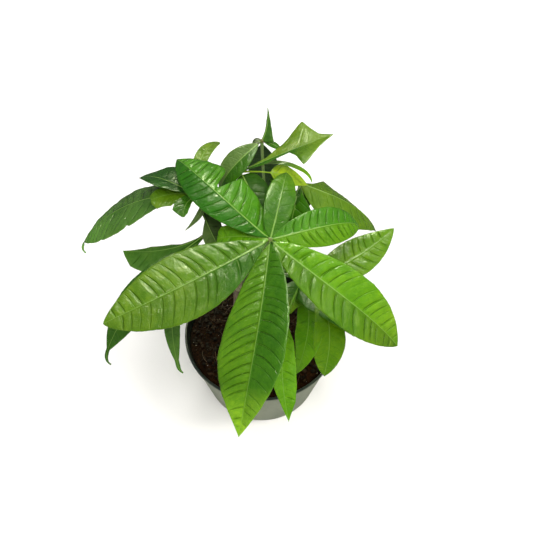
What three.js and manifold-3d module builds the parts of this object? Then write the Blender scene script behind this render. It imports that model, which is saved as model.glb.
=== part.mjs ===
// A small money tree in a round nursery pot.
// Millimetres, +Z up. The origin is the middle of the pot's underside.
import * as THREE from 'three';
import { mergeVertices } from 'three/addons/utils/BufferGeometryUtils.js';
import Module from 'manifold-3d';

const wasm = await Module();
wasm.setup();

// ---- Driving dimensions ----
// Pieces that touch are kept this far apart.
const touchGap = 0.3;

const pot = {
  height: 80,
  topRadius: 75,
  footRadius: 56,
  wall: 1.6,
  floor: 2,
  lipHeight: 5,
  lipDepth: 1.6,
  lipRounding: 0.8,
  footChamfer: 2,
  drainRadius: 4,
  drainCircle: 36,
  drainCount: 6,
};

const soilDepthBelowRim = 9;
const soilUnevenness = 1.6;
const soilRingShares = [0.85, 0.65, 0.45, 0.25, 0.05];

const trunk = {
  foot: new THREE.Vector3(-14, 0, 38),
  top: new THREE.Vector3(-14, 2, 148),
  footRadius: 14.5,
  topRadius: 11,
  // The bark's swellings, as shares of the radius, and the rounding of the cut top.
  ridgeSwell: 0.05,
  bellySwell: 0.03,
  shoulder: 0.86,
};

// The stub of an old stem, cut off at the front of the trunk's top.
const stub = {
  topRadius: 4.2,
  footRadius: 5.4,
  length: 22,
  lean: -8,
  offset: new THREE.Vector3(-4.5, -6.5, 0),
};

// The green shoot climbs from the cut top of the trunk and carries the petioles.
const shootCurve = new THREE.CubicBezierCurve3(
  new THREE.Vector3(-14, 2, 146),
  new THREE.Vector3(-12, 6, 162),
  new THREE.Vector3(-6, 10, 180),
  new THREE.Vector3(-4, 13, 204),
);
const shootFootRadius = 5;
const shootTipRadius = 3.4;
const shootTipRounding = 0.4;
const shootSocketDepth = 10;

const petioleRadius = 1.7;
const hubRadius = 2.8;
const bladeThickness = 0.8;
const stalkWidth = 2.4;
const stalkThickness = 2;

// How finely the curved faces are divided.
const potSides = 40;
const drainSides = 12;
const soilSides = 32;
const trunkSides = 16;
const trunkRows = 12;
const stubSides = 12;
const shootSides = 10;
const shootRows = 10;
const petioleSteps = 12;
const petioleSidesPerHalfTurn = 4;
const hubSides = 8;
const hubRows = 6;
const bladeRowsAtLeast = 5;
const bladeMillimetresPerRow = 24;
const unevenBladeRows = 1.5;
const curveStepsPerBladeRow = 4;
const bladeColumns = [-1, -0.55, 0, 0.55, 1];
const mergeDistance = 1e-4;

// Shape of a leaflet where its own entry below doesn't say otherwise. Angles are in degrees. Of two
// values in brackets the first is for the left of the midrib, seen from the hub.
//   heading, rise: the way it sets out from the hub, round the plant and above the level
//   droop, sway: how far it turns down and sideways by its tip; bend: high turns it down late
//   roll, twist: its tilt about the midrib at the hub, and how much that changes by the tip
//   fold: the angle of each half above the midrib's plane; cup: how far the halves arch back
//   stalk: the share of its length that is bare stalk at the hub
//   widest: where along it each half is widest; sides: how wide each half is, as a part of the usual
//   full: shape of the tip's end, low is blunt and high lean; base: the same for the hub's end
//   edges: in place of those, each half's outline as points, [share of length, share of half width]
//   curl: extra downward turn near the tip; wave: height of the margin's waves
//   tail: the share of its length that is a narrow tip
//   hook, lift: how far that tail turns sideways and up
//   tear: a slit in one side, with its place, its depth and its spread towards hub and tip as shares
const plainLeaflet = {
  droop: 45, sway: 0, bend: 1.3, roll: 0, twist: 0, fold: 10, cup: 0.12,
  stalk: 0.06, widest: [0.6, 0.6], sides: [1, 1], full: 0.9, curl: 0, wave: 0,
  tail: 0, hook: 0, lift: 0,
};
const wavesPerLeaflet = 2.5;
const curlStart = 0.8;
const curlBend = 1.5;
const tailWidth = 4;
const tailTipShare = 0.2;
const tailFineness = 0.6;

// Seven leaves. Each has a petiole that starts at a share of the shoot's length, is bent by two
// control points and ends at its hub, and leaflets that spread from that hub like fingers.
const leaves = {
  leaf_a: {
    colour: 0x5f9432,
    shootShare: 0.6,
    bends: [[4, 4, 204], [12, 0, 238]],
    hub: [8, -12, 236],
    leaflets: [
      { heading: 214, rise: -4, droop: 17, sway: -18, length: 152, width: 60, roll: -11, fold: 5,
        stalk: 0.025, widest: [0.53, 0.53], base: [0.88, 0.8], full: 0.72 },
      { heading: 266, rise: 3, droop: 35, sway: -9, length: 167, width: 67, roll: 29, twist: 9,
        fold: 14, stalk: 0.025, widest: [0.63, 0.63], base: [0.55, 0.52], full: 1.01 },
      { heading: 317, rise: -8, droop: 51, sway: 33, length: 148, width: 49, roll: 10, twist: 16,
        fold: 19, stalk: 0.025, widest: [0.57, 0.57], base: [0.55, 0.55], full: 0.84 },
      { heading: 4, rise: 16, droop: 73, sway: 45, length: 97, width: 33, roll: 20, twist: 16,
        fold: 1, stalk: 0.025, widest: [0.51, 0.51], base: [0.6, 0.7], full: 0.67 },
      { heading: 73, rise: 30, droop: 59, sway: 11, length: 76, width: 25, roll: 11,
        fold: 5, stalk: 0.025, widest: [0.5, 0.5], base: [0.5, 0.5], full: 0.77 },
      { heading: 148, rise: 26, droop: 61, sway: -33, length: 133, width: 47, roll: 4, twist: -19,
        fold: -7, stalk: 0.025, widest: [0.48, 0.41], sides: [0.8, 1.2], base: [0.84, 0.7],
        full: 0.79, tear: { side: -1, at: 0.485, depth: 0.82, hubward: 0.012, tipward: 0.075 } },
      { heading: 168, rise: 2, droop: 34, length: 47, width: 24, roll: -10,
        edges: [
          [[0, 0.1], [0.3, 0.8], [0.6, 1], [0.9, 0.8], [1, 0.3]],
          [[0, 0.1], [0.3, 0.7], [0.7, 1], [0.93, 0.95], [1, 0.6]],
        ] },
    ],
  },
  leaf_b: {
    colour: 0x6d9a3c,
    shootShare: 0.97,
    bends: [[8, 64, 188], [1, 95, 200]],
    hub: [1, 87, 252],
    leaflets: [
      { heading: 55, rise: 38, droop: 0, sway: 45, length: 30, width: 24,
        edges: [
          [[0, 0.08], [0.3, 0.08], [0.6, 0.12], [1, 0.02]],
          [[0, 0.3], [0.1, 0.92], [0.25, 0.6], [0.5, 0.29], [0.75, 0.11], [1, 0.02]],
        ] },
      { heading: 226, rise: -6, droop: 76, sway: -28, length: 64, width: 34, roll: -8, fold: 20,
        widest: [0.55, 0.5], sides: [0.8, 0.72], full: 0.85 },
      { heading: 345, rise: -6, droop: 25, length: 18, width: 8, full: 0.6 },
      { heading: 180, rise: 0, droop: 40, length: 9, width: 9, full: 0.4 },
      { heading: 84, rise: -72, droop: 12, length: 84, width: 30, full: 0.7 },
    ],
  },
  leaf_c: {
    colour: 0x76a446,
    shootShare: 0.88,
    bends: [[-14, 40, 200], [-20, 58, 212]],
    hub: [-18, 66, 235],
    leaflets: [
      { heading: 4, rise: 28, droop: 14, sway: 10, length: 88, width: 56, roll: -14,
        fold: 14, wave: 0.05,
        edges: [
          [[0, 0.04], [0.3, 0.13], [0.46, 0.45], [0.6, 0.76], [0.75, 1.1], [0.87, 0.3], [1, 0]],
          [[0, 0.04], [0.25, 0.19], [0.54, 0.12], [0.6, 0.5], [0.65, 1.2], [0.83, 0.5], [1, 0]],
        ] },
      { heading: 0, rise: 4, droop: 46, length: 64, width: 24, stalk: 0.42, widest: [0.62, 0.62] },
      { heading: 36, rise: 8, droop: 23, sway: -86, length: 73, width: 5, full: 0.6, curl: 65 },
      { heading: 297, rise: -12, droop: 34, length: 66, width: 34, widest: [0.45, 0.45],
        base: [0.35, 0.7], full: 0.7 },
    ],
  },
  leaf_d: {
    colour: 0x4f7d38,
    shootShare: 0.73,
    bends: [[-24, 24, 212], [-42, 38, 234]],
    hub: [-55, 43, 228],
    leaflets: [
      { heading: 153, rise: -19, droop: 41, sway: 42, length: 163, width: 60, roll: -4, twist: 22,
        fold: -3, base: [1.07, 0.85], full: 0.8, curl: 20, tail: 0.08, hook: 150, lift: 60 },
      { heading: 147, rise: 8, droop: 55, sway: -6, length: 76, width: 34, roll: 8, twist: 6,
        fold: 12, widest: [0.5, 0.5], sides: [0.75, 1.3] },
      { heading: 146, rise: -13, droop: 5, sway: 50, length: 46, width: 30,
        edges: [
          [[0, 0.2], [0.3, 0.6], [0.5, 1], [0.9, 0.9], [1, 0.4]],
          [[0, 0.2], [0.35, 0.6], [0.7, 0.75], [0.9, 0.6], [1, 0.3]],
        ] },
      { heading: 216, rise: 20, droop: 54, sway: 56, length: 27, width: 20,
        edges: [
          [[0, 0.1], [0.3, 0.3], [0.6, 0.45], [0.85, 0.4], [1, 0.1]],
          [[0, 0.3], [0.3, 0.75], [0.42, 0.85], [0.6, 1], [0.8, 1], [1, 0.1]],
        ] },
      { heading: 98, rise: 10, droop: 46, sway: -38, length: 90, width: 14, full: 0.5 },
      { heading: 312, rise: 28, droop: 65, sway: -109, length: 48, width: 8, roll: 25 },
      { heading: 285, rise: -8, droop: 25, sway: 18, length: 49, width: 20,
        edges: [
          [[0, 0.1], [0.3, 0.8], [0.5, 1.3], [0.75, 1.05], [1, 0.5]],
          [[0, 0.1], [0.3, 0.1], [0.5, 0.1], [0.75, 0.9], [1, 1]],
        ] },
    ],
  },
  leaf_e: {
    colour: 0x4c7a30,
    shootShare: 0.43,
    bends: [[-24, 18, 184], [-38, 25, 198]],
    hub: [-52, 29, 190],
    leaflets: [
      { heading: 176, rise: -39, droop: -42, sway: -3, length: 84, width: 40, fold: -2,
        edges: [
          [[0, 0.1], [0.25, 0.12], [0.5, 1], [0.7, 1.1], [0.88, 0.8], [0.97, 0.25], [1, 0]],
          [[0, 0.1], [0.3, 0.12], [0.45, 0.3], [0.7, 0.34], [0.9, 0.1], [1, 0]],
        ] },
      { heading: 222, rise: -2, droop: 62, sway: 7, length: 152, width: 33, fold: 8, curl: 10,
        tail: 0.09, hook: 110, lift: 70 },
      { heading: 230, rise: -13, droop: 50, sway: 64, length: 132, width: 17, roll: 20,
        tail: 0.06, hook: 40, lift: 50 },
    ],
  },
  leaf_f: {
    colour: 0x63982c,
    shootShare: 0.27,
    bends: [[0, -2, 172], [24, -6, 146]],
    hub: [37, -3, 166],
    leaflets: [
      { heading: 14, rise: 11, droop: 0, sway: 30, length: 99, width: 37, roll: 5, twist: 7,
        fold: 6, widest: [0.5, 0.5], full: 0.85 },
      { heading: 322, rise: 6, droop: 44, length: 84, width: 60,
        edges: [
          [[0, 0.2], [0.2, 0.6], [0.5, 0.8], [0.8, 0.5], [1, 0]],
          [[0, 0.2], [0.1, 0.65], [0.25, 0.78], [0.5, 0.68], [0.8, 0.5], [1, 0]],
        ] },
      { heading: 242, rise: 3, droop: 53, sway: 46, length: 132, width: 25, roll: 2,
        edges: [
          [[0, 0.06], [0.34, 0.12], [0.48, 0.82], [0.63, 1], [0.77, 0.95], [0.88, 0.7], [1, 0]],
          [[0, 0.06], [0.3, 0.1], [0.5, 0.7], [0.65, 0.85], [0.75, 0.7], [0.87, 0.35], [1, 0]],
        ] },
      { heading: 289, rise: -4, droop: 52, sway: -51, length: 87, width: 30, roll: 25,
        widest: [0.55, 0.55], sides: [1, 0.8], base: [0.7, 0.4] },
      { heading: 315, rise: 12, droop: 101, sway: -75, length: 103, width: 30, roll: -14,
        twist: -7, fold: 7 },
      { heading: 250, rise: 2, droop: 20, length: 34, width: 34,
        edges: [
          [[0, 0.3], [0.3, 0.9], [0.55, 0.7], [0.8, 0.25], [1, 0.05]],
          [[0, 0.3], [0.3, 0.9], [0.6, 1], [0.9, 0.8], [1, 0.5]],
        ] },
      { heading: 127, rise: 8, droop: 22, length: 60, width: 40, full: 0.6 },
    ],
  },
  leaf_h: {
    colour: 0x4a8432,
    shootShare: 0.8,
    bends: [[14, 34, 186], [32, 66, 190]],
    hub: [36, 80, 205],
    leaflets: [
      { heading: 352, rise: -18, droop: 55, sway: 20, length: 108, width: 52, roll: 2, twist: -20,
        fold: -12,
        edges: [
          [[0, 0.05], [0.13, 0.35], [0.27, 0.98], [0.38, 0.72], [0.6, 0.68], [0.8, 0.52], [1, 0]],
          [[0, 0.05], [0.1, 0.5], [0.2, 0.9], [0.35, 1.1], [0.6, 0.9], [0.8, 0.5], [1, 0]],
        ] },
      { heading: 288, rise: -30, droop: 60, length: 26, width: 18 },
      { heading: 252, rise: -38, droop: 30, length: 58, width: 34, sides: [1.3, 1] },
      { heading: 172, rise: 12, droop: 30, length: 29, width: 22 },
    ],
  },
};

// ---- Solids ----
const radians = THREE.MathUtils.degToRad;
const { clamp } = THREE.MathUtils;

function toSolid(geometry) {
  const bare = geometry.clone();
  bare.deleteAttribute('normal');
  bare.deleteAttribute('uv');
  const merged = mergeVertices(bare, mergeDistance);
  return new wasm.Manifold(new wasm.Mesh({
    numProp: 3,
    vertProperties: new Float32Array(merged.attributes.position.array),
    triVerts: new Uint32Array(merged.index.array),
  }));
}

function toGeometry(solid) {
  const mesh = solid.getMesh();
  const geometry = new THREE.BufferGeometry();
  geometry.setAttribute('position', new THREE.BufferAttribute(mesh.vertProperties, 3));
  geometry.setIndex(new THREE.BufferAttribute(mesh.triVerts, 1));
  geometry.computeVertexNormals();
  return geometry;
}

function joinAll(solids) {
  return solids.reduce((whole, piece) => whole.add(piece));
}

function geometryFromPoints(points, triangles) {
  const geometry = new THREE.BufferGeometry().setFromPoints(points);
  geometry.setIndex(triangles);
  return geometry;
}

function range(count) {
  return Array.from({ length: count }, (_, k) => k);
}

// The directions, as angles, of the corners of a ring.
function anglesRound(sides) {
  return range(sides).map((k) => (k / sides) * 2 * Math.PI);
}

// A closed body through rings of points that all have the same count, with a fan of triangles
// over each end. Seen from beyond the last ring, each ring's points run anticlockwise.
function loft(rings) {
  const sides = rings[0].length;
  const points = rings.flat();
  const triangles = [];
  for (let r = 0; r < rings.length - 1; r += 1) {
    for (let k = 0; k < sides; k += 1) {
      const next = (k + 1) % sides;
      const a = r * sides + k;
      const b = r * sides + next;
      triangles.push(a, b, b + sides);
      triangles.push(a, b + sides, a + sides);
    }
  }
  const lastRing = (rings.length - 1) * sides;
  for (let k = 1; k < sides - 1; k += 1) {
    triangles.push(0, k + 1, k);
    triangles.push(lastRing, lastRing + k, lastRing + k + 1);
  }
  return geometryFromPoints(points, triangles);
}

// ---- Pot and soil ----
const wallSlope = (pot.topRadius - pot.lipDepth - pot.footRadius) / (pot.height - pot.lipHeight);

function outerWallRadius(z) {
  return pot.footRadius + wallSlope * z;
}

function innerWallRadius(z) {
  return outerWallRadius(z) - pot.wall;
}

function makePot() {
  const lipUnderside = pot.height - pot.lipHeight;
  const profile = [
    [0, 0],
    [pot.footRadius - pot.footChamfer, 0],
    [outerWallRadius(pot.footChamfer), pot.footChamfer],
    [outerWallRadius(lipUnderside), lipUnderside],
    [pot.topRadius - pot.lipRounding, lipUnderside],
    [pot.topRadius, lipUnderside + pot.lipRounding],
    [pot.topRadius, pot.height - pot.lipRounding],
    [pot.topRadius - pot.lipRounding, pot.height],
    [innerWallRadius(pot.height) + pot.lipRounding, pot.height],
    [innerWallRadius(pot.height), pot.height - pot.lipRounding],
    [innerWallRadius(pot.floor), pot.floor],
    [0, pot.floor],
  ].map(([radius, z]) => new THREE.Vector2(radius, z));
  const shell = new THREE.LatheGeometry(profile, potSides);
  shell.rotateX(Math.PI / 2);
  const drillLength = 4 * pot.floor;
  const drills = anglesRound(pot.drainCount).map((angle) => {
    const drill = new THREE.CylinderGeometry(pot.drainRadius, pot.drainRadius, drillLength, drainSides);
    drill.rotateX(Math.PI / 2);
    drill.translate(pot.drainCircle * Math.cos(angle), pot.drainCircle * Math.sin(angle), 0);
    return toSolid(drill);
  });
  return toGeometry(toSolid(shell).subtract(joinAll(drills)));
}

const soilTop = pot.height - soilDepthBelowRim;

// The soil's surface, in low mounds.
function soilHeight(x, y) {
  const ripple = Math.sin(x / 9 + 1.3) * Math.cos(y / 11 - 0.4) + 0.5 * Math.sin((x - y) / 6);
  return soilTop + soilUnevenness * ripple;
}

function makeSoil() {
  const lowestEdge = soilTop - 1.5 * soilUnevenness;
  const reach = innerWallRadius(lowestEdge) - touchGap;
  const underside = pot.floor + touchGap;
  const level = () => underside;
  const ringAt = (radius, height) => anglesRound(soilSides).map((angle) => {
    const x = radius * Math.cos(angle);
    const y = radius * Math.sin(angle);
    return new THREE.Vector3(x, y, height(x, y));
  });
  const rings = [
    ringAt(innerWallRadius(underside) - touchGap, level),
    ringAt(reach, soilHeight),
    ...soilRingShares.map((share) => ringAt(reach * share, soilHeight)),
  ];
  return toGeometry(toSolid(loft(rings)).subtract(toSolid(trunkGeometry(touchGap))));
}

// ---- Trunk and shoot ----
// The trunk without its stub. With an extra it is that much fatter and longer, to cut a hole.
function trunkGeometry(extra) {
  const rings = range(trunkRows + 1).map((row) => {
    const share = row / trunkRows;
    const centre = trunk.foot.clone().lerp(trunk.top, share);
    let radius = THREE.MathUtils.lerp(trunk.footRadius, trunk.topRadius, share);
    if (row === 0) {
      centre.z -= extra;
    }
    if (row === trunkRows) {
      centre.z += extra;
      radius *= trunk.shoulder;
    }
    return anglesRound(trunkSides).map((angle) => {
      const ridges = trunk.ridgeSwell * Math.sin(3 * angle + 5 * share);
      const belly = trunk.bellySwell * Math.sin(angle + 9 * share);
      const reach = radius * (1 + ridges + belly) + extra;
      const outward = new THREE.Vector3(Math.cos(angle), Math.sin(angle), 0);
      return outward.multiplyScalar(reach).add(centre);
    });
  });
  return loft(rings);
}

function makeTrunk() {
  const { topRadius, footRadius, length } = stub;
  const cutStem = new THREE.CylinderGeometry(topRadius, footRadius, length, stubSides);
  cutStem.rotateX(Math.PI / 2);
  cutStem.rotateY(radians(stub.lean));
  cutStem.translate(...trunk.top.clone().add(stub.offset).toArray());
  const socket = toSolid(shootGeometry(touchGap));
  return toGeometry(toSolid(trunkGeometry(0)).add(toSolid(cutStem)).subtract(socket));
}

// The shoot, with a foot that fills its socket in the trunk and a rounded tip. With an extra it
// is that much fatter and longer, to cut the socket or to trim what grows from it.
function shootGeometry(extra) {
  const stations = [
    { share: 0, shift: -shootSocketDepth - extra, taper: 1 },
    ...range(shootRows + 1).map((row) => ({ share: row / shootRows, shift: 0, taper: 1 })),
    { share: 1, shift: shootTipRadius + extra, taper: shootTipRounding },
  ];
  const level = new THREE.Vector3(1, 0, 0);
  const rings = stations.map(({ share, shift, taper }) => {
    const ahead = shootCurve.getTangent(share);
    const centre = shootCurve.getPoint(share).addScaledVector(ahead, shift);
    const side = new THREE.Vector3().crossVectors(ahead, level).normalize();
    const front = new THREE.Vector3().crossVectors(ahead, side);
    const radius = (THREE.MathUtils.lerp(shootFootRadius, shootTipRadius, share) + extra) * taper;
    return anglesRound(shootSides).map((angle) => centre.clone()
      .addScaledVector(side, radius * Math.cos(angle))
      .addScaledVector(front, radius * Math.sin(angle)));
  });
  return loft(rings);
}

// ---- Leaves ----
// Half width at a share of the length, as a part of the greatest half width. The side is
// positive on the left of the midrib, seen from the hub, and negative on the right.
function outline(leaflet, share, side) {
  const half = side > 0 ? 0 : 1;
  if (leaflet.edges) {
    return widthBetweenPoints(leaflet.edges[half], share);
  }
  const body = share / (1 - leaflet.tail);
  const along = clamp((body - leaflet.stalk) / (1 - leaflet.stalk), 0, 1);
  const middle = (leaflet.widest[half] - leaflet.stalk) / (1 - leaflet.stalk);
  const place = along ** (Math.log(0.5) / Math.log(middle));
  const lean = leaflet.base && place < 0.5 ? leaflet.base[half] : leaflet.full;
  let width = leaflet.sides[half] * Math.max(0, Math.sin(Math.PI * place)) ** lean;
  if (leaflet.tear && leaflet.tear.side * side > 0) {
    const { at, depth, hubward, tipward } = leaflet.tear;
    const spread = share < at ? hubward : tipward;
    width *= 1 - depth * Math.exp(-(((share - at) / spread) ** 2));
  }
  return width;
}

// The width at a share of the length, on the straight line between the two nearest points.
function widthBetweenPoints(points, share) {
  const next = points.findIndex(([place], k) => k > 0 && place >= share);
  const [before, after] = points.slice(next - 1, next + 1);
  return THREE.MathUtils.mapLinear(share, before[0], after[0], before[1], after[1]);
}

// The least half width at a share of the length: the bare stalk's at the hub, or the tail's.
function leastHalfWidth(leaflet, share, nearHub) {
  const stalk = Math.max(stalkWidth * nearHub, bladeThickness);
  if (!leaflet.tail) {
    return stalk / 2;
  }
  const toTip = clamp((1 - share) / leaflet.tail, tailTipShare, 1);
  return Math.max(stalk, tailWidth * toTip ** tailFineness) / 2;
}

// The midrib's points, with the directions across and out of the blade at each.
function midrib(leaflet, hub) {
  const uneven = leaflet.tear || leaflet.edges || leaflet.tail;
  const plainRows = bladeRowsAtLeast + Math.round(leaflet.length / bladeMillimetresPerRow);
  const rows = Math.round(uneven ? plainRows * unevenBladeRows : plainRows);
  const steps = rows * curveStepsPerBladeRow;
  const alongTail = (share) => (leaflet.tail ? clamp((share - 1) / leaflet.tail + 1, 0, 1) : 0);
  const heading = (share) => radians(
    leaflet.heading + leaflet.sway * share + leaflet.hook * alongTail(share),
  );
  const pitch = (share) => {
    const curl = leaflet.curl * Math.max(0, (share - curlStart) / (1 - curlStart)) ** curlBend;
    const droop = leaflet.droop * share ** leaflet.bend;
    return radians(leaflet.rise - droop - curl + leaflet.lift * alongTail(share));
  };
  const ahead = (share) => new THREE.Vector3(
    Math.cos(pitch(share)) * Math.cos(heading(share)),
    Math.cos(pitch(share)) * Math.sin(heading(share)),
    Math.sin(pitch(share)),
  );
  const stations = [];
  const point = hub.clone();
  for (let step = 0; step <= steps; step += 1) {
    const share = step / steps;
    if (step % curveStepsPerBladeRow === 0) {
      const level = new THREE.Vector3(-Math.sin(heading(share)), Math.cos(heading(share)), 0);
      const tilt = radians(leaflet.roll + leaflet.twist * share);
      const across = level.applyAxisAngle(ahead(share), tilt);
      const out = new THREE.Vector3().crossVectors(ahead(share), across);
      stations.push({ share, point: point.clone(), across, out });
    }
    point.addScaledVector(ahead(share + 0.5 / steps), leaflet.length / steps);
  }
  return stations;
}

// A thin blade, folded at the midrib. Both faces are split into triangles the same way.
function leafletGeometry(entry, hub) {
  const leaflet = { ...plainLeaflet, ...entry };
  const fold = radians(leaflet.fold);
  const upper = [];
  const lower = [];
  midrib(leaflet, hub).forEach(({ share, point, across, out }) => {
    const nearHub = Math.exp(-share / leaflet.stalk);
    const half = (bladeThickness + (stalkThickness - bladeThickness) * nearHub) / 2;
    const least = leastHalfWidth(leaflet, share, nearHub);
    bladeColumns.forEach((column) => {
      const width = Math.max((leaflet.width * outline(leaflet, share, column)) / 2, least);
      const margin = column ** 2 * width;
      const turn = wavesPerLeaflet * share + (column > 0 ? 0.5 : 0);
      const height = Math.abs(column) * width * Math.sin(fold)
        - leaflet.cup * margin
        + leaflet.wave * margin * Math.sin(2 * Math.PI * turn);
      const middle = point.clone()
        .addScaledVector(across, column * width * Math.cos(fold))
        .addScaledVector(out, height);
      upper.push(middle.clone().addScaledVector(out, half));
      lower.push(middle.addScaledVector(out, -half));
    });
  });
  const span = bladeColumns.length;
  const rowCount = upper.length / span;
  const under = upper.length;
  const triangles = [];
  const quad = (a, b, c, d) => triangles.push(a, b, c, a, c, d);
  for (let row = 0; row < rowCount - 1; row += 1) {
    for (let k = 0; k < span - 1; k += 1) {
      const a = row * span + k;
      const b = a + span;
      triangles.push(a, b, b + 1, a, b + 1, a + 1);
      triangles.push(under + a, under + b + 1, under + b, under + a, under + a + 1, under + b + 1);
    }
    const right = row * span;
    const left = right + span - 1;
    quad(right, under + right, under + right + span, right + span);
    quad(left + span, under + left + span, under + left, left);
  }
  const tip = (rowCount - 1) * span;
  for (let k = 0; k < span - 1; k += 1) {
    quad(k, k + 1, under + k + 1, under + k);
    quad(tip + k, under + tip + k, under + tip + k + 1, tip + k + 1);
  }
  return geometryFromPoints([...upper, ...lower], triangles);
}

function petioleGeometry(leaf, hub) {
  const start = shootCurve.getPoint(leaf.shootShare);
  const bends = leaf.bends.map((point) => new THREE.Vector3(...point));
  const extrudePath = new THREE.CubicBezierCurve3(start, ...bends, hub);
  const section = new THREE.Shape().absarc(0, 0, petioleRadius, 0, 2 * Math.PI);
  const options = { steps: petioleSteps, curveSegments: petioleSidesPerHalfTurn, extrudePath };
  return new THREE.ExtrudeGeometry(section, options);
}

// A leaf's leaflets, hub and petiole are one body. Its foot is trimmed clear of the shoot.
function makeLeaf(leaf) {
  const hub = new THREE.Vector3(...leaf.hub);
  const knot = new THREE.SphereGeometry(hubRadius, hubSides, hubRows).translate(...leaf.hub);
  const solids = leaf.leaflets.map((leaflet) => toSolid(leafletGeometry(leaflet, hub)));
  solids.push(toSolid(petioleGeometry(leaf, hub)), toSolid(knot));
  return toGeometry(joinAll(solids).subtract(toSolid(shootGeometry(touchGap))));
}

// ---- The plant ----
const plant = new THREE.Group();

function addPiece(name, geometry, color, roughness) {
  const material = new THREE.MeshStandardMaterial({ color, roughness, metalness: 0 });
  const mesh = new THREE.Mesh(geometry, material);
  mesh.name = name;
  plant.add(mesh);
}

addPiece('pot', makePot(), 0xa9ad9c, 0.5);
addPiece('soil', makeSoil(), 0x2a2015, 1);
addPiece('trunk', makeTrunk(), 0x7a6350, 0.85);
addPiece('shoot', shootGeometry(0), 0x5d7f3a, 0.6);
Object.entries(leaves).forEach(([name, leaf]) => {
  addPiece(name, makeLeaf(leaf), leaf.colour, 0.4);
});

export default plant;
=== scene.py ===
"""A small money tree in a round nursery pot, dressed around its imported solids.

Shapes are in millimetres, which MM turns into metres. The floor, the camera's nearest distance and
the materials are in metres.
"""

import math
from types import SimpleNamespace

import bpy
import numpy as np
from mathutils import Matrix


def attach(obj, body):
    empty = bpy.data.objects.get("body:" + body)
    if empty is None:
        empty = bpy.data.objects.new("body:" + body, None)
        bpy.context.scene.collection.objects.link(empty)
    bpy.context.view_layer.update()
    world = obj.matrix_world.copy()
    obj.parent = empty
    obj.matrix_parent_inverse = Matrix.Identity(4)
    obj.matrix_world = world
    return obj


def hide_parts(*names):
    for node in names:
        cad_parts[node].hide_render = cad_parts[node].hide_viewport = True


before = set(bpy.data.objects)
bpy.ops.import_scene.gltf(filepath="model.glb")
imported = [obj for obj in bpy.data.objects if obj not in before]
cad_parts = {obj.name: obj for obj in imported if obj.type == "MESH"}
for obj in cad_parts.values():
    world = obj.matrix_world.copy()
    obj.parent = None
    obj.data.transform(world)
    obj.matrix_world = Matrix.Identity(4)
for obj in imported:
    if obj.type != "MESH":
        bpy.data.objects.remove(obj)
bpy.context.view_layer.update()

MM = 0.001
TAU = 2 * math.pi
BODY = "root"

# ---- Camera, floor and light ----
CAMERA_PLACE, CAMERA_PITCH = (5, -434, 750), 52.5
CAMERA_LENS, CAMERA_SENSOR, CAMERA_NEAREST = 54.81, 36, 0.02
FLOOR_RADIUS, FLOOR_SIDES = 12, 96
SKY_AT_HORIZON, SKY_OVERHEAD = 0.12, 0.5

# name: (degrees above the floor, degrees round from +X, degrees wide, strength, colour)
SUNS = {
    "back": (50, 92, 20, 0.6, (1, 0.99, 0.96)),
    "right": (50, 352, 18, 1.35, (1, 0.985, 0.95)),
    "front": (66, 265, 40, 2.25, (1, 0.99, 0.975)),
    "gleam": (52, 100, 8, 5, (0.95, 1, 0.65)),
    "right_gleam": (50, 358, 7, 0.8, (0.85, 1, 0.4)),
}
# These only make gleams. The others make none.
GLOSS_ONLY = ("gleam", "right_gleam")


def linear(colour):
    """An sRGB colour from 0 to 255 as the linear values that shaders take."""
    share = np.array(colour) / 255
    return np.where(share <= 0.04045, share / 12.92, ((share + 0.055) / 1.055) ** 2.4)


def put_in_scene(thing):
    bpy.context.scene.collection.objects.link(thing)
    return thing


def make_camera():
    data = bpy.data.cameras.new("camera")
    data.lens = CAMERA_LENS
    data.sensor_width = CAMERA_SENSOR
    data.clip_start = CAMERA_NEAREST
    camera = put_in_scene(bpy.data.objects.new("camera", data))
    camera.location = [value * MM for value in CAMERA_PLACE]
    camera.rotation_euler = (math.radians(90 - CAMERA_PITCH), 0, 0)
    bpy.context.scene.camera = camera


def make_lights():
    for name, (height, around, width, strength, colour) in SUNS.items():
        data = bpy.data.lights.new(name, "SUN")
        data.angle = math.radians(width)
        data.energy = strength
        data.color = colour
        sun = put_in_scene(bpy.data.objects.new(name, data))
        sun.visible_diffuse = name not in GLOSS_ONLY
        sun.visible_glossy = name in GLOSS_ONLY
        sun.rotation_euler = (math.radians(90 - height), 0, math.radians(around + 90))
    n = Nodes("studio", bpy.data.worlds)
    height = n.axes(n.new("TexCoord").outputs["Generated"])["Z"]
    brighter = n.new("MapRange",
                     {"Value": height, "To Min": SKY_AT_HORIZON, "To Max": SKY_OVERHEAD}).outputs[0]
    # Past the floor's edge the camera sees white, which doesn't light the plant.
    ray = n.new("LightPath").outputs["Is Camera Ray"]
    sky = n.tree.nodes["Background"].inputs
    n.link((1, 1, 1), sky["Color"])
    n.link(n.math("MAXIMUM", brighter, ray), sky["Strength"])
    bpy.context.scene.world = n.owner
    bpy.context.scene.view_settings.view_transform = "Standard"


# ---- Meshes ----
# A tube's first corner is square to this, which no path here runs along.
TUBE_START = (0.31, 0.17, 0.94)


def new_object(name, points, faces, material, attributes=None):
    """A smooth mesh object from points in millimetres. Attributes are one row for each point."""
    mesh = bpy.data.meshes.new(name)
    mesh.from_pydata((np.asarray(points, float) * MM).tolist(), [], faces)
    mesh.polygons.foreach_set("use_smooth", [True] * len(mesh.polygons))
    for key, values in (attributes or {}).items():
        values = np.asarray(values, np.float32)
        kind, field = ("FLOAT", "value") if values.ndim == 1 else ("FLOAT_VECTOR", "vector")
        mesh.attributes.new(key, kind, "POINT").data.foreach_set(field, values.ravel())
    mesh.materials.append(material)
    mesh.validate()
    mesh.update()
    return put_in_scene(bpy.data.objects.new(name, mesh))


def finish_piece(piece, slot, *nodes):
    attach(piece, BODY)
    if nodes:
        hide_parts(*nodes)


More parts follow.
